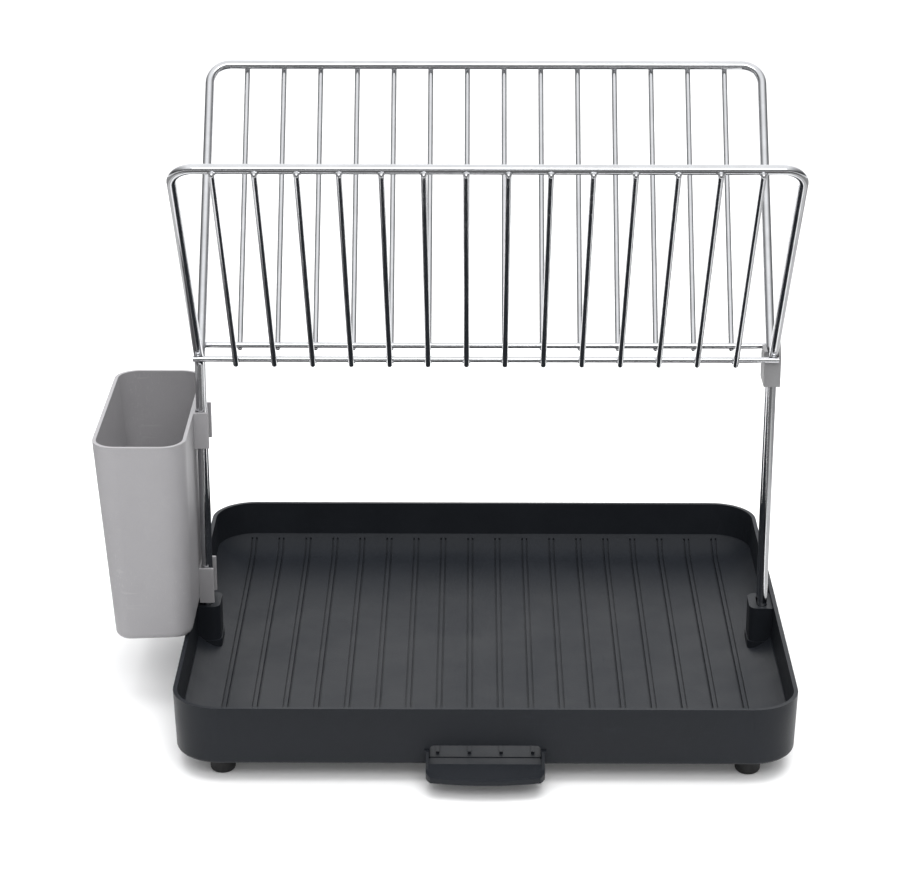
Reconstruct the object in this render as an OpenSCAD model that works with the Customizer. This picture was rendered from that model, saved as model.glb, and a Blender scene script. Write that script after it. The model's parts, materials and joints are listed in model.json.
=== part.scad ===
// Two-tier dish drying rack: drip tray, slide-off spout, lift-out wire rack, side bin.
// Millimetres, +Z up, front toward -Y. Origin: centre of the whole footprint, spout and
// side bin included, on the resting plane. Modules are drawn about the tray's own centre.

/* [Wire rack] */
// Plate wires on each leaning frame
wire_count = 14; // [6:1:14]
// Spacing of the plate wires, centre to centre
wire_pitch = 25; // [20:0.5:32]
// Rod diameter of the two bent frames
frame_d = 6.2; // [4:0.1:8]
// Diameter of the plate wires
wire_d = 3.7; // [2.5:0.1:5]
// Diameter of the two cross rods at the foot of the V
cross_d = 3.9; // [2.5:0.1:5]
// Height of the top rails above the resting plane
rail_z = 388; // [320:1:440]
// Distance of each top rail from the centre plane
rail_y = 134.5; // [90:0.5:160]
// Height where each leg leans away from the other
bend_z = 225; // [180:1:260]
// Distance of each leg rod from the centre plane
leg_y = 5.8; // [5:0.1:9]
// Centreline radius of the top corners
corner_r = 13.5; // [8:0.5:24]
// Centreline radius of the leg bends
bend_r = 12; // [8:0.5:20]
// Distance of the cross rods above the bend, along the lean
cross_s = 7.3; // [6:0.1:14]

/* [Drip tray] */
// Width of the tray at the rim
tray_w = 394; // [320:1:460]
// Depth of the tray at the rim, front to back
tray_d = 341; // [280:1:400]
// Height of the rim above the resting plane
rim_z = 52.3; // [40:0.1:70]
// Outer corner radius at the rim
tray_r = 30; // [18:1:50]
// Wall thickness
tray_wall = 2.7; // [2:0.1:4]
// Height of the tray's lower edge above the resting plane
base_z = 13; // [8:0.5:20]
// Height of the ribbed floor
floor_z = 18.3; // [16:0.1:26]
// Number of drainage ribs
rib_count = 18; // [8:1:20]
// Spacing of the ribs
rib_pitch = 19.87; // [12:0.01:24]
// Height above the resting plane of the crease between walls and dished floor
crease_z = 28.8; // [24:0.1:34]
// How far in from the walls the floor goes on rising
dish_run = 25; // [12:0.5:27]
// Height of the ribs above the floor
rib_h = 1.5; // [0.5:0.1:2.5]
// Rubber foot diameter
foot_d = 16; // [10:0.5:24]

/* [Leg sockets] */
// Height of the socket tops
socket_z = 50; // [36:0.5:52]
// Socket length, front to back
socket_l = 25.4; // [24:0.2:50]
// How far each socket reaches in from the wall
socket_w = 15.6; // [14:0.2:26]
// Clearance round the leg rods
socket_gap = 0.35; // [0.2:0.05:0.8]

/* [Spout] */
// Outside width of the spout
spout_w = 74.2; // [50:0.2:110]
// Reach of the spout in front of the tray
spout_reach = 23; // [12:0.5:40]
// Height of the spout's side walls at the tray
spout_top = 23.9; // [20:0.1:30]
// Height of the spout's lip
spout_lip = 14.2; // [10:0.1:20]

/* [Cutlery holder] */
// Width of the bin at the rim
bin_w = 60.3; // [45:0.1:90]
// Length of the bin at the rim, front to back
bin_l = 150; // [90:1:200]
// Height of the bin's rim above the resting plane
bin_top = 188.7; // [150:0.1:210]
// Height of the bin's underside above the resting plane
bin_low = 52; // [50:0.1:90]
// Corner radius at the rim
bin_r = 16; // [12:0.5:26]
// Wall thickness of the bin
bin_wall = 2.3; // [1.6:0.1:3.5]
// How far each wall leans in from rim to underside, before the leg side is set upright
bin_taper = 5; // [0:0.1:9]

/* [Hidden] */
$fn = 64;
leg_x = (wire_count + 1) * wire_pitch / 2;
lean = atan2(rail_y - leg_y, rail_z - bend_z);
lean_l = norm([rail_y - leg_y, rail_z - bend_z]);
bend_t = bend_r * tan(lean / 2);
leg_foot_z = 24.3;
weld = 0.2;
cross_out = (frame_d + cross_d) / 2 - weld;
wire_low = cross_out + (cross_d + wire_d) / 2 - weld;
wire_high = (frame_d + wire_d) / 2 - weld;
wire_lean = atan2(wire_low - wire_high, lean_l - cross_s);
tray_taper = 1.4;
gate_y = tray_d / 2 - 2.2;
wall_x = tray_w / 2;
wall_y = tray_d / 2;
opening_w = 69.6;
opening_z = 26.8;
floor_t = 2.5;
chute_z = floor_z - 0.4;
rib_end = tray_d / 2 - 6.5;
foot_x = 166;
foot_y = 150;
leg_slot = frame_d + 2 * socket_gap;
bin_x = -leg_x - frame_d / 2 - 1.4 - bin_w / 2;
bin_h = bin_top - bin_low;
bin_tilt = atan2(bin_taper, bin_h);
jaw_t = 2.4;
jaw_in = leg_y + frame_d / 2 + 0.3;
jaw_tip = -leg_x + frame_d / 2 + 2.2;
clip_h = 24.6;
clip_bases = [52.8, bin_top - clip_h];
origin_x = (bin_w / 2 - bin_x - wall_x) / 2;
origin_y = spout_reach / 2;

function two(n) = n < 10 ? str("0", n) : str(n);
function wire_x(n) = (n - (wire_count + 1) / 2) * wire_pitch;
function rib_x(n) = (n - (rib_count - 1) / 2) * rib_pitch;

// ---- shared shapes ----

// Half cross-section of a tapered pan, from its corner centre outward. The foot is an
// arc that starts level with the base, run inside the wall, and meets the wall at rise:
// smoothly when it is a quarter round, with a hairline ledge when it is flatter.
module pan_profile(h, r, taper, rise, run) {
  r_f = r - taper + taper * rise / h;
  arc_r = (run * run + rise * rise) / (2 * rise);
  ledge = run > rise ? 0.5 : 0;
  square([r_f - run - ledge, h]);
  polygon([[0, rise], [r_f, rise], [r, h], [0, h]]);
  translate([r_f - run - ledge, arc_r])
    intersection() {
      circle(arc_r);
      translate([0, -arc_r])
        square([run + ledge, rise]);
    }
}

// Cross-section of a whole pan whose straight part reaches half either side.
module pan_section(half, h, r, taper, rise, run) {
  translate([-half, 0])
    square([2 * half, h]);
  for (s = [0, 1])
    mirror([s, 0])
      translate([half, 0])
        pan_profile(h, r, taper, rise, run);
}

// One straight run of the pan, swept along +X.
module pan_run(length, half, h, r, taper, rise, run) {
  rotate([90, 0, 90])
    linear_extrude(height = length, center = true)
      pan_section(half, h, r, taper, rise, run);
}

// Solid pan standing on z = 0: tapered walls, round corners, curved foot.
module pan(w, d, h, r, taper, rise, run) {
  cx = w / 2 - r;
  cy = d / 2 - r;
  union() {
    pan_run(2 * cx, cy, h, r, taper, rise, run);
    rotate([0, 0, 90])
      pan_run(2 * cy, cx, h, r, taper, rise, run);
    for (x = [-cx, cx], y = [-cy, cy])
      translate([x, y, 0])
        rotate_extrude()
          pan_profile(h, r, taper, rise, run);
  }
}

// The same pan for cutting a hollow: its walls carry on past the rim by over.
module open_pan(w, d, h, r, taper, rise, run, over) {
  k = taper * over / h;
  pan(w + 2 * k, d + 2 * k, h + over, r + k, taper + k, rise, run);
}

// Upright slot with round ends, long way along Y.
module slot(w, l, h) {
  translate([0, 0, h / 2])
    cube([w, l - w, h], center = true);
  for (s = [-1, 1])
    translate([0, s * (l - w) / 2, 0])
      cylinder(h = h, d = w);
}

// Places children in the plane of the front frame: y up the lean, z toward the outside.
module on_front_plane() {
  translate([0, -leg_y, bend_z])
    rotate([90 + lean, 0, 0])
      children();
}

// ---- drip tray ----

// Plan of a right-hand socket: round inner corners, straight back to the wall.
module socket_plan(grow) {
  inner = wall_x - tray_wall - socket_w - grow;
  half = socket_l / 2 + grow;
  r = 5.5;
  translate([inner + r, -half])
    square([wall_x - 2 - inner - r, 2 * half]);
  translate([inner, -half + r])
    square([r + 1, 2 * (half - r)]);
  for (s = [-1, 1])
    translate([inner + r, s * (half - r)])
      circle(r);
}

module leg_socket() {
  plinth_z = crease_z - 3.3;
  translate([0, 0, floor_z - 1]) {
    linear_extrude(height = socket_z - floor_z + 1)
      socket_plan(0);
    linear_extrude(height = plinth_z - floor_z + 1)
      socket_plan(0.7);
  }
}

// Seats for the two pairs of legs, cut through socket and dished floor alike.
module leg_slots() {
  for (s = [-1, 1])
    translate([s * leg_x, 0, leg_foot_z - 0.3])
      slot(leg_slot, 2 * leg_y + leg_slot, socket_z);
}

// Side view of the tray's hollow, lowered by drop.
module hollow_side(drop) {
  translate([0, floor_z - drop])
    pan_section(wall_y - tray_r, 20, tray_r - tray_wall, 0.6, crease_z - floor_z, dish_run);
}

// Side view of one rib: it follows the dish, or stays level in front of the gate.
module rib_side(at_gate) {
  difference() {
    translate([-rib_end, floor_z - 0.9])
      square([2 * rib_end, 12]);
    hollow_side(-rib_h);
    if (at_gate)
      translate([-wall_y, floor_z + rib_h])
        square([26, 20]);
  }
}

// Side view of the fine grooves on either side of a rib.
module groove_side() {
  intersection() {
    translate([-rib_end, floor_z - 2])
      square([2 * rib_end, 12]);
    hollow_side(1);
  }
}

// Upright slice across X, thick wide, of a side view.
module slice(x, thick) {
  translate([x, 0, 0])
    rotate([90, 0, 90])
      linear_extrude(height = thick, center = true)
        children();
}

module drip_tray() {
  color([0.17, 0.18, 0.2])
    difference() {
      union() {
        difference() {
          translate([0, 0, base_z])
            pan(tray_w, tray_d, rim_z - base_z, tray_r, tray_taper, 3, 3);
          translate([0, 0, floor_z])
            open_pan(tray_w - 2 * tray_wall, tray_d - 2 * tray_wall, rim_z - floor_z,
                     tray_r - tray_wall, 1.2, crease_z - floor_z, dish_run, 6);
          translate([0, 0, base_z - 5])
            pan(tray_w - 22, tray_d - 22, floor_z - floor_t - base_z + 5,
                tray_r - 9, 0.1, 1, 1);
          spout_gate();
          for (n = [0:rib_count - 1], s = [-1, 1])
            slice(rib_x(n) + s * 1.65, 1.3)
              groove_side();
        }
        leg_socket();
        mirror([1, 0, 0])
          leg_socket();
        for (n = [0:rib_count - 1])
          slice(rib_x(n), 2)
            rib_side(abs(rib_x(n)) < opening_w / 2);
        for (x = [-foot_x, foot_x], y = [-foot_y, foot_y])
          translate([x, y, base_z])
            cylinder(h = floor_z - base_z - 1.2, d = foot_d + 4);
      }
      leg_slots();
      for (x = [-foot_x, foot_x], y = [-foot_y, foot_y])
        translate([x, y, base_z - 1])
          cylinder(h = 3.6, d = 6);
    }
}

// Round-topped gate through the front wall, and the slot under the floor for the tongue.
module spout_gate() {
  h = opening_z - floor_z;
  translate([0, -wall_y + 10, floor_z])
    rotate([90, 0, 0])
      linear_extrude(height = 24, center = true) {
        translate([-opening_w / 2, 0])
          square([opening_w, h - 3]);
        translate([-opening_w / 2 + 3, 0])
          square([opening_w - 6, h]);
        for (s = [-1, 1])
          translate([s * (opening_w / 2 - 3), h - 3])
            circle(3);
      }
  translate([-opening_w / 2, -wall_y - 2, base_z - 1])
    cube([opening_w, wall_y + 2 - gate_y, floor_z - base_z + 1.01]);
  translate([-opening_w / 2, -wall_y - 2, base_z - 1])
    cube([opening_w, 24, floor_z - floor_t - base_z + 1]);
}

// ---- rubber feet ----

module foot(x, y) {
  translate([x, y, 0])
    color([0.03, 0.03, 0.035])
      union() {
        rotate_extrude() {
          translate([0, 3])
            square([foot_d / 2, base_z - 3]);
          square([foot_d / 2 - 3, 4]);
          translate([foot_d / 2 - 3, 3])
            circle(3);
        }
        cylinder(h = base_z + 2.4, d = 5.8);
      }
}

// ---- spout ----

// Plan of the spout: straight sides, round front corners, a slightly bowed lip.
module spout_plan(inset) {
  half = spout_w / 2 - inset;
  front = wall_y + spout_reach - inset;
  intersection() {
    union() {
      translate([-half, -front + 11])
        square([2 * half, front - wall_y - 11 + 0.6]);
      translate([-half + 11, -front])
        square([2 * half - 22, 12]);
      for (s = [-1, 1])
        translate([s * (half - 11), -front + 11])
          circle(11);
    }
    translate([0, -front + 170])
      circle(170, $fn = 128);
  }
}

// Long prism across the spout from a list of [distance from the centre plane, height].
module spout_prism(points) {
  rotate([90, 0, -90])
    linear_extrude(height = 120, center = true)
      polygon(points);
}

module draining_spout() {
  lip_y = wall_y + spout_reach;
  low = spout_lip - 3;
  color([0.17, 0.18, 0.2]) {
    difference() {
      translate([0, 0, low])
        linear_extrude(height = 20)
          spout_plan(0);
      spout_prism([
        [wall_y - 2, 40], [wall_y - 2, spout_top], [wall_y, spout_top],
        [wall_y + spout_reach / 2, spout_lip + 2.2],
        [lip_y, spout_lip], [lip_y + 5, spout_lip], [lip_y + 5, 40]
      ]);
      intersection() {
        linear_extrude(height = 40)
          spout_plan(1.9);
        spout_prism([
          [wall_y - 2, 40], [wall_y - 2, chute_z], [wall_y + 7, chute_z],
          [lip_y - 2.2, spout_lip - 0.9], [lip_y + 5, spout_lip - 0.9], [lip_y + 5, 40]
        ]);
      }
    }
    for (s = [-1, 1])
      translate([s * (spout_w / 2 - 0.6), -wall_y - 0.2, spout_top - 1.3])
        cube([3.4, 1.6, 2.6], center = true);
    translate([-opening_w / 2 + 0.4, -wall_y - 0.6, low + 2])
      cube([opening_w - 0.8, wall_y + 0.6 - gate_y - 0.4, chute_z - low - 2]);
    translate([-opening_w / 2 + 0.8, -wall_y - 0.6, low + 2])
      cube([opening_w - 1.6, 34, 2.2]);
  }
}

// ---- frames: the rear frame is the front one turned half round ----

module top_rail() {
  on_front_plane()
    translate([0, lean_l - corner_r, 0]) {
      translate([0, corner_r, 0])
        rotate([0, 90, 0])
          cylinder(h = 2 * (leg_x - corner_r), d = frame_d, center = true);
      for (s = [0, 1])
        mirror([s, 0, 0])
          translate([leg_x - corner_r, 0, 0])
            rotate_extrude(angle = 90)
              translate([corner_r, 0])
                circle(d = frame_d);
    }
}

module leg(x, grow) {
  translate([x, 0, 0])
    union() {
      translate([0, -leg_y, leg_foot_z])
        cylinder(h = bend_z - bend_t - leg_foot_z, d = frame_d + grow);
      translate([0, -leg_y - bend_r, bend_z - bend_t])
        rotate([90, 0, 90])
          rotate_extrude(angle = lean)
            translate([bend_r, 0])
              circle(d = frame_d + grow);
    }
}

module side_rod(x, grow) {
  on_front_plane()
    translate([x, bend_t, 0])
      rotate([-90, 0, 0])
        cylinder(h = lean_l - corner_r - bend_t, d = frame_d + grow);
}

module cross_rod(grow) {
  on_front_plane()
    translate([0, cross_s, cross_out])
      rotate([0, 90, 0])
        cylinder(h = 2 * leg_x + frame_d, d = cross_d + grow, center = true);
}

module plate_wire(n) {
  reach = norm([wire_low - wire_high, lean_l - cross_s]);
  on_front_plane()
    translate([wire_x(n), cross_s, wire_low])
      rotate([-90 - wire_lean, 0, 0]) {
        translate([0, 0, -0.6])
          cylinder(h = reach + 0.8, d = wire_d);
        translate([0, 0, -0.6])
          sphere(d = wire_d);
        translate([0, 0, reach + 0.2])
          sphere(d = wire_d);
      }
}

module chrome() {
  color([0.78, 0.79, 0.81])
    children();
}

module chrome_rear() {
  color([0.78, 0.79, 0.81])
    rotate([0, 0, 180])
      children();
}

// ---- junction bracket on the right-hand pair of legs ----

module junction_bracket() {
  low = 208;
  high = 226;
  inner = leg_x - 5.7;
  outer = leg_x + 5.1;
  half = 11.2;
  color([0.5, 0.5, 0.51])
    difference() {
      union() {
        translate([inner, -half, low])
          cube([outer - inner, 2 * half, high - low]);
        translate([inner, -7, high - 1])
          cube([2.4, 14, 6]);
        translate([outer - 1.6, 0, high])
          rotate([0, 90, 0])
            cylinder(h = 1.6, r = half);
      }
      for (s = [-1, 1])
        rotate([0, 0, 90 - s * 90]) {
          leg(s * leg_x, 0.1);
          side_rod(s * leg_x, 0.1);
        }
    }
}

// ---- cutlery holder ----

// The bin's outside, or its inside when inset. The tilt sets its leg side upright.
module bin_shape(inset, rise) {
  h = bin_h - rise;
  foot = 5 - inset;
  translate([bin_x + bin_h * sin(bin_tilt), 0, bin_low + rise])
    rotate([0, -bin_tilt, 0])
      open_pan(bin_w - 2 * inset, bin_l - 2 * inset, h, bin_r - inset,
               bin_taper * h / bin_h, foot, foot, 8);
}

module cutlery_bin() {
  color([0.66, 0.66, 0.67])
    intersection() {
      difference() {
        bin_shape(0, 0);
        bin_shape(bin_wall, bin_wall);
        for (y = [-40, -20, 0, 20, 40])
          translate([bin_x + 3, y, bin_low - 5])
            cylinder(h = 15, d = 5);
      }
      translate([bin_x, 0, bin_top - 200])
        cube([200, 200, 400], center = true);
    }
}

// Spring clip on the bin's upright side; its jaws hug a pair of leg rods front and back.
module clip(n) {
  z = clip_bases[n];
  back = bin_x + bin_w / 2;
  color([0.66, 0.66, 0.67])
    translate([0, 0, z])
      linear_extrude(height = clip_h) {
        translate([back, -jaw_in - jaw_t])
          square([-leg_x - frame_d / 2 - 0.5 - back, 2 * (jaw_in + jaw_t)]);
        for (s = [-1, 1]) {
          translate([back, s * (jaw_in + jaw_t / 2) - jaw_t / 2])
            square([jaw_tip - jaw_t / 2 - back, jaw_t]);
          translate([jaw_tip - jaw_t / 2, s * (jaw_in + jaw_t / 2)])
            circle(d = jaw_t);
        }
      }
}

// Moves children from the tray's centre to the centre of the whole footprint.
module placed() {
  translate([origin_x, origin_y, 0])
    children();
}

// ---- what is drawn ----

placed() drip_tray();
placed() draining_spout();
placed() foot(-foot_x, -foot_y);  // foot_front_left
placed() foot(foot_x, -foot_y);  // foot_front_right
placed() foot(-foot_x, foot_y);  // foot_rear_left
placed() foot(foot_x, foot_y);  // foot_rear_right
placed() chrome() top_rail();  // front_top_rail
placed() chrome() side_rod(-leg_x, 0);  // front_left_side
placed() chrome() leg(-leg_x, 0);  // front_left_leg
placed() chrome() side_rod(leg_x, 0);  // front_right_side
placed() chrome() leg(leg_x, 0);  // front_right_leg
placed() chrome() cross_rod(0);  // front_cross_rod
placed() chrome_rear() top_rail();  // rear_top_rail
placed() chrome_rear() side_rod(leg_x, 0);  // rear_left_side
placed() chrome_rear() leg(leg_x, 0);  // rear_left_leg
placed() chrome_rear() side_rod(-leg_x, 0);  // rear_right_side
placed() chrome_rear() leg(-leg_x, 0);  // rear_right_leg
placed() chrome_rear() cross_rod(0);  // rear_cross_rod
placed() junction_bracket();
placed() cutlery_bin();
placed() clip(1);  // upper_clip
placed() clip(0);  // lower_clip
for (n = [1:wire_count])
  placed() chrome() plate_wire(n);
for (n = [1:wire_count])
  placed() chrome_rear() plate_wire(wire_count + 1 - n);
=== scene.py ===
"""Finishes, weld beads and studio for the dish drying rack."""

import json
import math
import random

import bmesh
import bpy
from bpy.props import FloatProperty, FloatVectorProperty, IntProperty, PointerProperty
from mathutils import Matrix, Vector


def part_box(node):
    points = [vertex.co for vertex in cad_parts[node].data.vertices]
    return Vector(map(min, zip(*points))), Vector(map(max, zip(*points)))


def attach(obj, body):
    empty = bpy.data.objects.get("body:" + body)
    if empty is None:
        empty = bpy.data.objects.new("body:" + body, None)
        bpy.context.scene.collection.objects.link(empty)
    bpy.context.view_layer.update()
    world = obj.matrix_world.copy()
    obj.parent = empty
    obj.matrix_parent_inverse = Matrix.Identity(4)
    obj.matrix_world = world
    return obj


bl_info = {
    "name": "Dish Drying Rack Finish",
    "version": (1, 0, 0),
    "blender": (4, 5, 0),
    "location": "View3D > Sidebar > Rack",
    "description": "Finishes, weld beads and studio for a dish drying rack",
    "category": "Object",
}

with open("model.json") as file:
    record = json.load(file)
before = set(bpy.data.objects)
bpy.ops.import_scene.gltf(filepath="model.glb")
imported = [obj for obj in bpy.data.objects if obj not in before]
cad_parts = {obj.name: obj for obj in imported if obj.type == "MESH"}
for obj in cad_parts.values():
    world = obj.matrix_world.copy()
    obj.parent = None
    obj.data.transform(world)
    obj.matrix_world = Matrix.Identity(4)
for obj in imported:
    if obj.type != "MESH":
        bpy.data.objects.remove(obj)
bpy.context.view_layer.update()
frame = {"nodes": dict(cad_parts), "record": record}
SIDES = ("front", "rear")
WIRES = sorted({int(n[-2:]) for n in frame["nodes"] if n.startswith("front_wire_")})


def tray_centre():
    """Middle of the tray at the resting plane."""
    low, high = (Vector(corner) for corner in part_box("drip_tray"))
    middle = (low + high) / 2
    return Vector((middle.x, middle.y, 0.0))


# ---------------------------------------------------------------- settings


class RackPlasticSettings(bpy.types.PropertyGroup):
    """Colours and textures of the moulded parts."""

    tray_color: FloatVectorProperty(
        name="Tray", description="Charcoal of the drip tray and spout",
        subtype="COLOR", size=3, min=0, max=1, default=(0.0125, 0.0142, 0.0175))
    bin_color: FloatVectorProperty(
        name="Cutlery bin", description="Light grey of the cutlery bin",
        subtype="COLOR", size=3, min=0, max=1, default=(0.3, 0.294, 0.303))
    bracket_color: FloatVectorProperty(
        name="Bracket", description="Mid grey of the bracket on the legs",
        subtype="COLOR", size=3, min=0, max=1, default=(0.2, 0.2, 0.203))
    foot_color: FloatVectorProperty(
        name="Feet", description="Black of the rubber feet",
        subtype="COLOR", size=3, min=0, max=1, default=(0.007, 0.007, 0.0078))
    grain_size: FloatProperty(
        name="Grain size", description="Spacing of the mould texture",
        subtype="DISTANCE", unit="LENGTH", min=0.0001, max=0.003, default=0.0006)
    edge_radius: FloatProperty(
        name="Edge radius", description="Softening of the moulded edges",
        subtype="DISTANCE", unit="LENGTH", min=0, max=0.002, default=0.0007)


class RackWireSettings(bpy.types.PropertyGroup):
    """Finish of the plated rods and wires, and their welds."""

    plate_color: FloatVectorProperty(
        name="Plating", description="Colour of the bright plating",
        subtype="COLOR", size=3, min=0, max=1, default=(0.58, 0.585, 0.6))
    plate_roughness: FloatProperty(
        name="Plating roughness", description="How soft the reflections are",
        min=0, max=1, default=0.13)
    weld_size: FloatProperty(
        name="Weld bead", description="Width of a weld bead over the wire's own radius",
        subtype="DISTANCE", unit="LENGTH", min=0.0002, max=0.003, default=0.0009)
    weld_seed: IntProperty(
        name="Weld seed", description="Picks the unevenness of the beads",
        min=0, max=999, default=7)


class RackStageSettings(bpy.types.PropertyGroup):
    """Camera, floor and light."""

    camera_distance: FloatProperty(
        name="Camera distance", description="From the tray's middle, along the floor",
        subtype="DISTANCE", unit="LENGTH", min=0.5, max=6, default=1.7094)
    camera_height: FloatProperty(
        name="Camera height", description="Above the resting plane",
        subtype="DISTANCE", unit="LENGTH", min=0.1, max=4, default=0.8169)
    camera_pitch: FloatProperty(
        name="Camera pitch", description="Downward tilt",
        subtype="ANGLE", unit="ROTATION", default=math.radians(20.746))
    camera_shift: FloatProperty(
        name="Camera shift", description="Rightward from the tray's middle",
        subtype="DISTANCE", unit="LENGTH", default=-0.00798)
    camera_turn: FloatProperty(
        name="Camera turn", description="Turn toward the left",
        subtype="ANGLE", unit="ROTATION", default=math.radians(0.372))
    lens: FloatProperty(
        name="Lens", description="Focal length in millimetres",
        min=20, max=300, default=108.7)
    floor_color: FloatVectorProperty(
        name="Floor", description="Colour of the floor",
        subtype="COLOR", size=3, min=0, max=1, default=(0.93, 0.93, 0.93))


# ---------------------------------------------------------------- node helpers


def start_group(name, inputs, outputs):
    """An empty shader group with named float inputs and the given outputs."""
    tree = bpy.data.node_groups.new(name, "ShaderNodeTree")
    for label, value in inputs:
        socket = tree.interface.new_socket(label, in_out="INPUT", socket_type="NodeSocketFloat")
        socket.default_value = value
    for label in outputs:
        tree.interface.new_socket(label, in_out="OUTPUT", socket_type="NodeSocketFloat")
    return tree, tree.nodes.new("NodeGroupInput"), tree.nodes.new("NodeGroupOutput")


def noise(tree, vector, scale, detail=2.0, roughness=0.5):
    """A noise node fed by a vector and a scale, each a socket or a number."""
    node = tree.nodes.new("ShaderNodeTexNoise")
    node.inputs["Detail"].default_value = detail
    node.inputs["Roughness"].default_value = roughness
    tree.links.new(vector, node.inputs["Vector"])
    if isinstance(scale, (int, float)):
        node.inputs["Scale"].default_value = scale
    else:
        tree.links.new(scale, node.inputs["Scale"])
    return node.outputs["Fac"]


def math_node(tree, operation, first, second=None):
    """The output of one Math node; its inputs are sockets or numbers."""
    node = tree.nodes.new("ShaderNodeMath")
    node.operation = operation
    for index, value in enumerate((first, second)):
        if value is None:
            continue
        if isinstance(value, (int, float)):
            node.inputs[index].default_value = value
        else:
            tree.links.new(value, node.inputs[index])
    return node.outputs[0]


def spread(tree, value, low, high, to_low=0.0, to_high=1.0):
    """Value mapped from one range to another and clamped."""
    node = tree.nodes.new("ShaderNodeMapRange")
    tree.links.new(value, node.inputs["Value"])
    for label, number in (("From Min", low), ("From Max", high),
                          ("To Min", to_low), ("To Max", to_high)):
        if isinstance(number, (int, float)):
            node.inputs[label].default_value = number
        else:
            tree.links.new(number, node.inputs[label])
    return node.outputs["Result"]


def object_position(tree):
    """Place on the piece, in metres."""
    return tree.nodes.new("ShaderNodeTexCoord").outputs["Object"]


def stretched(tree, vector, scale):
    """The vector with its axes scaled, for streaks."""
    node = tree.nodes.new("ShaderNodeMapping")
    node.inputs["Scale"].default_value = scale
    tree.links.new(vector, node.inputs["Vector"])
    return node.outputs["Vector"]


# ---------------------------------------------------------------- shared effects


def mould_grain_group():
    """Fine moulded texture: a height for bump, a mottle and a broad drift."""
    found = bpy.data.node_groups.get("mould_grain")
    if found:
        return found
    tree, given, out = start_group(
        "mould_grain", [("Fineness", 1600.0), ("Patchiness", 30.0)],
        ["Height", "Mottle", "Drift"])
    place = object_position(tree)
    fine = noise(tree, place, given.outputs["Fineness"], 3.0, 0.65)
    pits = noise(tree, place, math_node(tree, "MULTIPLY", given.outputs["Fineness"], 0.37))
    height = math_node(tree, "ADD", fine, math_node(tree, "MULTIPLY", pits, 0.8))
    tree.links.new(height, out.inputs["Height"])
    tree.links.new(spread(tree, fine, 0.35, 0.65), out.inputs["Mottle"])
    drift = noise(tree, place, given.outputs["Patchiness"], 4.0, 0.6)
    tree.links.new(spread(tree, drift, 0.35, 0.68), out.inputs["Drift"])
    return tree


def scuff_group():
    """Hairline scuffs that run two ways, and faint dried water marks."""
    found = bpy.data.node_groups.get("scuffs")
    if found:
        return found
    tree, given, out = start_group("scuffs", [("Amount", 0.5)], ["Lines", "Marks"])
    place = object_position(tree)
    lines = None
    for scale in ((30.0, 900.0, 300.0), (1100.0, 40.0, 260.0)):
        streak = noise(tree, stretched(tree, place, scale), 1.0, 2.0, 0.6)
        thin = spread(tree, streak, 0.62, 0.7)
        lines = thin if lines is None else math_node(tree, "MAXIMUM", lines, thin)
    where = spread(tree, noise(tree, place, 14.0), 0.5, 0.62)
    lines = math_node(tree, "MULTIPLY", lines, where)
    tree.links.new(math_node(tree, "MULTIPLY", lines, given.outputs["Amount"]),
                   out.inputs["Lines"])
    cells = tree.nodes.new("ShaderNodeTexVoronoi")
    cells.inputs["Scale"].default_value = 70.0
    tree.links.new(place, cells.inputs["Vector"])
    ring = spread(tree, cells.outputs["Distance"], 0.18, 0.26)
    hollow = math_node(tree, "SUBTRACT", 1.0, spread(tree, cells.outputs["Distance"], 0.28, 0.34))
    marks = math_node(tree, "MULTIPLY", ring, hollow)
    marks = math_node(tree, "MULTIPLY", marks, spread(tree, noise(tree, place, 9.0), 0.52, 0.66))
    tree.links.new(math_node(tree, "MULTIPLY", marks, given.outputs["Amount"]),
                   out.inputs["Marks"])
    return tree


def use_group(tree, group, **values):
    """A node for a shared effect, with its inputs set."""
    node = tree.nodes.new("ShaderNodeGroup")
    node.node_tree = group
    for label, value in values.items():
        node.inputs[label].default_value = value
    return node


def new_material(name, metallic=0.0, ior=1.5, specular=0.5):
    """A material with its Principled shader's plain sockets set."""
    material = bpy.data.materials.new(name)
    material.use_nodes = True
    shader = material.node_tree.nodes["Principled BSDF"]
    shader.inputs["Metallic"].default_value = metallic
    shader.inputs["IOR"].default_value = ior
    shader.inputs["Specular IOR Level"].default_value = specular
    return material, material.node_tree, shader


def mixed_color(tree, factor, first, second):
    """A colour between two, chosen by the factor."""
    node = tree.nodes.new("ShaderNodeMix")
    node.data_type = "RGBA"
    node.inputs["A"].default_value = (*first, 1.0)
    node.inputs["B"].default_value = (*second, 1.0)
    tree.links.new(factor, node.inputs["Factor"])
    return node.outputs["Result"]


def tinted(color, gain):
    """The colour made lighter or darker."""
    return tuple(min(1.0, c * gain) for c in color)


def bump(tree, shader, height, strength, distance):
    """Lets a height tilt the surface."""
    node = tree.nodes.new("ShaderNodeBump")
    node.inputs["Strength"].default_value = strength
    node.inputs["Distance"].default_value = distance
    tree.links.new(height, node.inputs["Height"])
    tree.links.new(node.outputs["Normal"], shader.inputs["Normal"])


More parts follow.
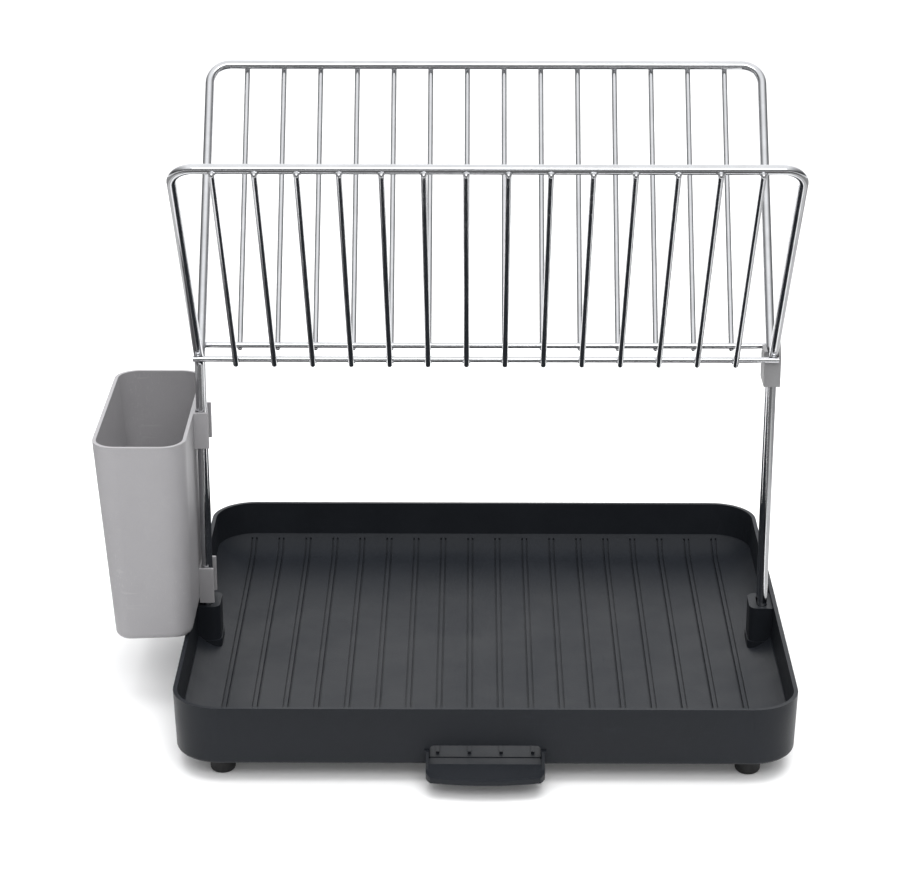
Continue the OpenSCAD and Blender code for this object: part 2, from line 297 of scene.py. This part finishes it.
def plastic(name, color, rough, grain, relief, scuff, contrast=0.12, specular=0.4):
    """Moulded plastic: grain bump, mottled tone, scuffs and roughness drift."""
    material, tree, shader = new_material(name, specular=specular)
    texture = use_group(tree, mould_grain_group(), Fineness=1.0 / grain, Patchiness=24.0)
    wear = use_group(tree, scuff_group(), Amount=scuff)
    tone = math_node(tree, "ADD",
                     math_node(tree, "MULTIPLY", texture.outputs["Mottle"], 0.35),
                     math_node(tree, "MULTIPLY", texture.outputs["Drift"], 0.65))
    base = mixed_color(tree, tone, tinted(color, 1 - contrast), tinted(color, 1 + contrast))
    worn = tree.nodes.new("ShaderNodeMix")
    worn.data_type = "RGBA"
    worn.inputs["B"].default_value = (*tinted(color, 1.9), 1.0)
    tree.links.new(base, worn.inputs["A"])
    marks = math_node(tree, "ADD", wear.outputs["Lines"],
                      math_node(tree, "MULTIPLY", wear.outputs["Marks"], 0.3))
    tree.links.new(math_node(tree, "MULTIPLY", marks, 0.35), worn.inputs["Factor"])
    tree.links.new(worn.outputs["Result"], shader.inputs["Base Color"])
    gloss = spread(tree, texture.outputs["Drift"], 0.0, 1.0, rough - 0.05, rough + 0.06)
    gloss = math_node(tree, "ADD", gloss, math_node(tree, "MULTIPLY", marks, 0.12))
    tree.links.new(gloss, shader.inputs["Roughness"])
    height = math_node(tree, "SUBTRACT", texture.outputs["Height"],
                       math_node(tree, "MULTIPLY", wear.outputs["Lines"], 0.5))
    bump(tree, shader, height, relief, 0.0002)
    return material


def plating(name, color, rough):
    """Bright plating: drawn streaks, faint haze and dried spots."""
    material, tree, shader = new_material(name, metallic=1.0)
    texture = use_group(tree, mould_grain_group(), Fineness=900.0, Patchiness=60.0)
    wear = use_group(tree, scuff_group(), Amount=0.6)
    base = mixed_color(tree, texture.outputs["Drift"], tinted(color, 0.94), tinted(color, 1.06))
    tree.links.new(base, shader.inputs["Base Color"])
    haze = spread(tree, texture.outputs["Drift"], 0.0, 1.0, rough - 0.03, rough + 0.05)
    haze = math_node(tree, "ADD", haze,
                     math_node(tree, "MULTIPLY", wear.outputs["Marks"], 0.12))
    haze = math_node(tree, "ADD", haze,
                     math_node(tree, "MULTIPLY", wear.outputs["Lines"], 0.15))
    tree.links.new(haze, shader.inputs["Roughness"])
    bump(tree, shader, texture.outputs["Height"], 0.05, 0.00008)
    return material


def paint(nodes, material):
    """Gives CAD nodes one material in all their slots."""
    for name in nodes:
        mesh = frame["nodes"][name].data
        if not mesh.materials:
            mesh.materials.append(material)
        for index in range(len(mesh.materials)):
            mesh.materials[index] = material


def soften(nodes, radius, angle=35.0):
    """Rounds the sharp moulded edges of CAD nodes with a narrow bevel."""
    for name in nodes:
        bevel = frame["nodes"][name].modifiers.new("soft_edges", "BEVEL")
        bevel.width = radius
        bevel.segments = 2
        bevel.limit_method = "ANGLE"
        bevel.angle_limit = math.radians(angle)


# ---------------------------------------------------------------- operators


class RACK_OT_tray(bpy.types.Operator):
    """Finish the drip tray and spout in charcoal moulded plastic"""

    bl_idname = "rack.tray"
    bl_label = "Finish Tray"

    def execute(self, context):
        settings = context.scene.rack_plastic
        material = plastic("charcoal_plastic", settings.tray_color, rough=0.42,
                           grain=settings.grain_size, relief=0.22, scuff=0.55,
                           specular=0.15)
        paint(["drip_tray", "draining_spout"], material)
        soften(["drip_tray", "draining_spout"], settings.edge_radius)
        return {"FINISHED"}


class RACK_OT_feet(bpy.types.Operator):
    """Finish the four feet in black rubber"""

    bl_idname = "rack.feet"
    bl_label = "Finish Feet"

    def execute(self, context):
        settings = context.scene.rack_plastic
        material = plastic("foot_rubber", settings.foot_color, rough=0.62,
                           grain=settings.grain_size * 0.7, relief=0.35, scuff=0.3)
        paint([n for n in frame["nodes"] if n.startswith("foot_")], material)
        return {"FINISHED"}


class RACK_OT_wirework(bpy.types.Operator):
    """Finish the rods and wires in bright plating"""

    bl_idname = "rack.wirework"
    bl_label = "Finish Wirework"

    def execute(self, context):
        settings = context.scene.rack_wire
        material = plating("bright_plating", settings.plate_color, settings.plate_roughness)
        rack = frame["record"]["behaviour"]["bodies"]["rack"]
        paint([n for n in rack if n != "junction_bracket"], material)
        return {"FINISHED"}


class RACK_OT_bracket(bpy.types.Operator):
    """Finish the bracket on the right-hand legs"""

    bl_idname = "rack.bracket"
    bl_label = "Finish Bracket"

    def execute(self, context):
        settings = context.scene.rack_plastic
        material = plastic("bracket_plastic", settings.bracket_color, rough=0.5,
                           grain=settings.grain_size * 0.8, relief=0.25, scuff=0.35)
        paint(["junction_bracket"], material)
        soften(["junction_bracket"], settings.edge_radius)
        return {"FINISHED"}


class RACK_OT_bin(bpy.types.Operator):
    """Finish the cutlery bin and its clips in light grey plastic"""

    bl_idname = "rack.bin"
    bl_label = "Finish Cutlery Bin"

    def execute(self, context):
        settings = context.scene.rack_plastic
        material = plastic("light_grey_plastic", settings.bin_color, rough=0.46,
                           grain=settings.grain_size, relief=0.2, scuff=0.35,
                           contrast=0.05)
        paint(["cutlery_bin", "upper_clip", "lower_clip"], material)
        soften(["cutlery_bin", "upper_clip", "lower_clip"], settings.edge_radius)
        return {"FINISHED"}


def bead(mesh, centre, along, out, length, width, rise, rng):
    """Adds one weld bead: a squashed, slightly uneven blob."""
    side = along.cross(out).normalized()
    made = bmesh.ops.create_icosphere(mesh, subdivisions=3, radius=1.0)["verts"]
    phase = rng.uniform(0, 6.28)
    for vertex in made:
        p = vertex.co.copy()
        lump = 1.0 + 0.06 * math.sin(5 * p.x + phase) + 0.05 * math.sin(7 * p.y + 2 * phase)
        p *= lump
        vertex.co = centre + along * p.x * length + side * p.y * width + out * p.z * rise


class RACK_OT_welds(bpy.types.Operator):
    """Add the weld beads where wires and rods meet"""

    bl_idname = "rack.welds"
    bl_label = "Add Welds"

    def execute(self, context):
        settings = context.scene.rack_wire
        rng = random.Random(settings.weld_seed)
        material = bpy.data.materials.get("bright_plating")
        if material is None:
            raise RuntimeError("finish the wirework before the welds")
        for side in SIDES:
            obj = self.side_welds(side, settings.weld_size, rng)
            obj.data.materials.append(material)
            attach(obj, "rack")
        return {"FINISHED"}

    def side_welds(self, side, collar, rng):
        """One object with all the beads of the front or the rear frame."""
        sign = -1.0 if side == "front" else 1.0
        rail_low, rail_high = (Vector(c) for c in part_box(side + "_top_rail"))
        cross_low, cross_high = (Vector(c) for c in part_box(side + "_cross_rod"))
        cross_r = (cross_high.z - cross_low.z) / 2
        leg_low, leg_high = (Vector(c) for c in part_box(side + "_left_leg"))
        rail_r = (leg_high.x - leg_low.x) / 2
        rail_y = rail_low.y + rail_r if sign < 0 else rail_high.y - rail_r
        rail = Vector((0, rail_y, rail_high.z - rail_r))
        cross = (cross_low + cross_high) / 2
        slope = Vector((0, rail.y - cross.y, rail.z - cross.z)).normalized()
        out = Vector((0, sign * slope.z, -abs(slope.y)))
        mesh = bmesh.new()
        wire_low, wire_high = (Vector(c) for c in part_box(side + "_wire_01"))
        wire_r = (wire_high.x - wire_low.x) / 2
        across = Vector((1, 0, 0))
        for n in WIRES:
            low, high = (Vector(c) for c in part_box(f"{side}_wire_{n:02d}"))
            x = (low.x + high.x) / 2
            for centre, radius in ((rail, rail_r), (cross, cross_r)):
                at = Vector((x, centre.y, centre.z)) + out * (radius + wire_r * 0.1)
                bead(mesh, at, across, out, length=wire_r + collar,
                     width=wire_r * 0.75, rise=wire_r * 0.5, rng=rng)
        for name in (side + "_left_side", side + "_right_side"):
            low, high = (Vector(c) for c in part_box(name))
            at = Vector(((low.x + high.x) / 2, cross.y, cross.z)) - out * cross_r * 0.95
            bead(mesh, at, slope, out, length=cross_r + collar,
                 width=rail_r * 0.62, rise=cross_r * 0.4, rng=rng)
        data = bpy.data.meshes.new(side + "_welds")
        mesh.to_mesh(data)
        mesh.free()
        data.shade_smooth()
        obj = bpy.data.objects.new(side + "_welds", data)
        bpy.context.scene.collection.objects.link(obj)
        return obj


def area_light(name, place, target, width, depth, power):
    """A soft rectangular light that faces a point."""
    light = bpy.data.lights.new(name, "AREA")
    light.shape = "RECTANGLE"
    light.size = width
    light.size_y = depth
    light.energy = power
    obj = bpy.data.objects.new(name, light)
    obj.location = place
    obj.rotation_euler = (Vector(target) - Vector(place)).to_track_quat("-Z", "Y").to_euler()
    bpy.context.scene.collection.objects.link(obj)
    return obj


def flat_sheet(name, low, high, height):
    """A level rectangle between two corners, at a height."""
    data = bpy.data.meshes.new(name)
    corners = [(low[0], low[1], height), (high[0], low[1], height),
               (high[0], high[1], height), (low[0], high[1], height)]
    data.from_pydata(corners, [], [(0, 1, 2, 3)])
    obj = bpy.data.objects.new(name, data)
    bpy.context.scene.collection.objects.link(obj)
    return obj


class RACK_OT_stage(bpy.types.Operator):
    """Build the pale floor, soft lights, sky and camera"""

    bl_idname = "rack.stage"
    bl_label = "Build Stage"

    def execute(self, context):
        settings = context.scene.rack_stage
        middle = tray_centre()
        self.floor(settings)
        self.flags()
        self.sky(context.scene)
        target = middle + Vector((0, 0, 0.1))
        above = area_light("overhead_softbox", middle + Vector((0.1, -0.05, 2.1)), target,
                           width=2.2, depth=2.0, power=39.0)
        above.visible_glossy = False
        area_light("front_softbox", middle + Vector((0.2, -2.2, 2.0)), target,
                   width=1.6, depth=0.9, power=22.0)
        camera = bpy.data.cameras.new("camera")
        camera.lens = settings.lens
        camera.sensor_width = 36.0
        camera.clip_end = 50.0
        obj = bpy.data.objects.new("camera", camera)
        obj.location = middle + Vector((settings.camera_shift, -settings.camera_distance,
                                        settings.camera_height))
        obj.rotation_euler = (math.radians(90) - settings.camera_pitch, 0.0,
                              settings.camera_turn)
        context.scene.collection.objects.link(obj)
        context.scene.camera = obj
        context.scene.view_settings.view_transform = "Standard"
        return {"FINISHED"}

    def floor(self, settings):
        """Pale paper under the rack, lit a little from within to soften shadows."""
        obj = flat_sheet("floor", (-9, -9), (9, 9), 0.0)
        material, tree, shader = new_material("floor_paper", specular=0.2)
        texture = use_group(tree, mould_grain_group(), Fineness=400.0, Patchiness=2.0)
        color = tuple(settings.floor_color)
        tree.links.new(mixed_color(tree, texture.outputs["Drift"], tinted(color, 0.995),
                                   tinted(color, 1.005)), shader.inputs["Base Color"])
        tree.links.new(spread(tree, texture.outputs["Drift"], 0, 1, 0.86, 0.94),
                       shader.inputs["Roughness"])
        shader.inputs["Emission Color"].default_value = (1.0, 1.0, 1.0, 1.0)
        shader.inputs["Emission Strength"].default_value = 0.07
        obj.data.materials.append(material)

    def flags(self):
        """Dark and grey cards on the floor that show only in reflections."""
        height = 0.003
        for name, low, high, tone in (
                ("front_flag", (-1.8, -2.4), (1.8, -0.5), 0.2),
                ("front_strip", (-0.3, -0.5), (0.3, -0.27), 0.2),
                ("left_flag", (-1.9, -0.5), (-0.56, 1.6), 0.42),
                ("left_strip", (-0.56, -0.5), (-0.3, 0.6), 0.8),
                ("right_flag", (0.56, -0.5), (1.9, 1.6), 0.42),
                ("right_strip", (0.3, -0.5), (0.56, 0.6), 0.8)):
            obj = flat_sheet(name, low, high, height)
            material = bpy.data.materials.new(name)
            material.use_nodes = True
            shader = material.node_tree.nodes["Principled BSDF"]
            shader.inputs["Base Color"].default_value = (0, 0, 0, 1)
            shader.inputs["Specular IOR Level"].default_value = 0.0
            shader.inputs["Emission Color"].default_value = (tone, tone, tone, 1)
            shader.inputs["Emission Strength"].default_value = 1.0
            obj.data.materials.append(material)
            obj.visible_camera = False
            obj.visible_diffuse = False
            obj.visible_shadow = False

    def sky(self, scene):
        """Bright overhead and low at the back, dark at the sides and low at the front."""
        world = bpy.data.worlds.new("studio")
        world.use_nodes = True
        tree = world.node_tree
        place = tree.nodes.new("ShaderNodeTexCoord").outputs["Generated"]
        split = tree.nodes.new("ShaderNodeSeparateXYZ")
        tree.links.new(place, split.inputs["Vector"])
        front_glow, back_glow = 0.12, 1.5
        overhead_glow, side_glow = 1.35, 0.45
        low = spread(tree, split.outputs["Y"], 0.45, 0.93, front_glow, back_glow)
        high = spread(tree, split.outputs["Z"], 0.22, 0.55)
        sideways = math_node(tree, "ABSOLUTE", split.outputs["X"])
        above = spread(tree, sideways, 0.4, 0.85, overhead_glow, side_glow)
        level = math_node(tree, "ADD", math_node(tree, "MULTIPLY", high, above),
                          math_node(tree, "MULTIPLY",
                                    math_node(tree, "SUBTRACT", 1.0, high), low))
        background = tree.nodes["Background"]
        background.inputs["Color"].default_value = (0.985, 0.99, 1.0, 1.0)
        tree.links.new(level, background.inputs["Strength"])
        scene.world = world


class RACK_PT_panel(bpy.types.Panel):
    """Lists the finishing steps and their settings"""

    bl_idname = "RACK_PT_panel"
    bl_label = "Dish Drying Rack"
    bl_space_type = "VIEW_3D"
    bl_region_type = "UI"
    bl_category = "Rack"

    def draw(self, context):
        layout = self.layout
        for group in ("rack_plastic", "rack_wire", "rack_stage"):
            settings = getattr(context.scene, group)
            box = layout.box()
            for name in settings.__annotations__:
                box.prop(settings, name)
        for step in STEPS:
            layout.operator(step.bl_idname)


STEPS = (RACK_OT_tray, RACK_OT_feet, RACK_OT_wirework, RACK_OT_bracket, RACK_OT_bin,
         RACK_OT_welds, RACK_OT_stage)
CLASSES = (RackPlasticSettings, RackWireSettings, RackStageSettings) + STEPS + (RACK_PT_panel,)


def register():
    for cls in CLASSES:
        bpy.utils.register_class(cls)
    bpy.types.Scene.rack_plastic = PointerProperty(type=RackPlasticSettings)
    bpy.types.Scene.rack_wire = PointerProperty(type=RackWireSettings)
    bpy.types.Scene.rack_stage = PointerProperty(type=RackStageSettings)


def unregister():
    del bpy.types.Scene.rack_stage
    del bpy.types.Scene.rack_wire
    del bpy.types.Scene.rack_plastic
    for cls in reversed(CLASSES):
        bpy.utils.unregister_class(cls)


def main():
    register()
    bpy.ops.rack.tray()
    bpy.ops.rack.feet()
    bpy.ops.rack.wirework()
    bpy.ops.rack.bracket()
    bpy.ops.rack.bin()
    bpy.ops.rack.welds()
    bpy.ops.rack.stage()


if __name__ == "__main__":
    main()
